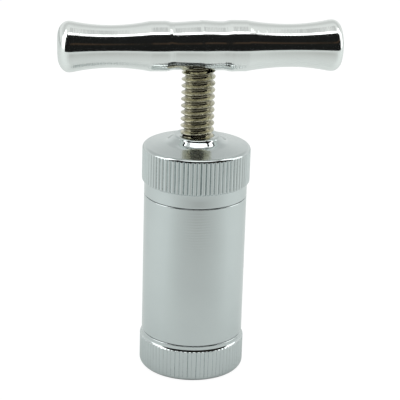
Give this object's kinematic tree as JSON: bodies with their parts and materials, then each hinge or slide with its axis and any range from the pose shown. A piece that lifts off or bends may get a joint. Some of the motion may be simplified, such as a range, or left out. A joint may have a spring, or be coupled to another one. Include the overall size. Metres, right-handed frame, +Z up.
{
  "type": "pill crusher",
  "caption": "T-handled screw press: a threaded rod through a knurled top cap drives a piston down a smooth round barrel that stands on a knurled screw-on base.",
  "frame": {"origin": "on the screw's axis, in the plane that the base cap stands on", "axes": "+Z up along the screw, X along the handle bar, -Y towards the viewer"},
  "size_m": [0.0828, 0.032, 0.1069],
  "materials": {
    "chrome_plate": "bright chrome plate",
    "piston_steel": "fine turned",
    "black_steel": "black oxide",
    "nickel_plate": "bright nickel plate",
    "turned_aluminium": "turned and polished"
  },
  "bodies": {
    "base": {"bottom_cap": "chrome_plate"},
    "lower_piston": {"lower_piston": "piston_steel"},
    "barrel": {"barrel": "chrome_plate"},
    "cap": {"top_cap": "chrome_plate"},
    "upper_piston": {"upper_piston": "piston_steel", "piston_set_screw": "black_steel"},
    "screw": {"press_screw": "nickel_plate", "handle_bar": "turned_aluminium"}
  },
  "joints": [
    {"name": "barrel_turn", "type": "hinge", "parent": "base", "child": "lower_piston", "pos_m": [0, 0, 0.0038], "axis": [0, 0, 1], "range_deg": [0, 1620]},
    {"name": "barrel_rise", "type": "slide", "parent": "lower_piston", "child": "barrel", "axis": [0, 0, 1], "range_m": [0, 0.00676]},
    {"name": "top_cap_lift", "type": "slide", "parent": "barrel", "child": "cap", "axis": [0, 0, 1], "range_m": [0, 0.06]},
    {"name": "piston_travel", "type": "slide", "parent": "cap", "child": "upper_piston", "axis": [0, 0, 1], "range_m": [-0.01901, 0.02101]},
    {"name": "handle_turn", "type": "hinge", "parent": "upper_piston", "child": "screw", "pos_m": [0, 0, 0.0728], "axis": [0, 0, 1], "range_deg": [-3420, 3780]}
  ],
  "couplings": [
    {"joint": "barrel_rise", "follows": "barrel_turn", "m_per_rad": 0.00023873},
    {"joint": "piston_travel", "follows": "handle_turn", "m_per_rad": 0.00031831}
  ]
}
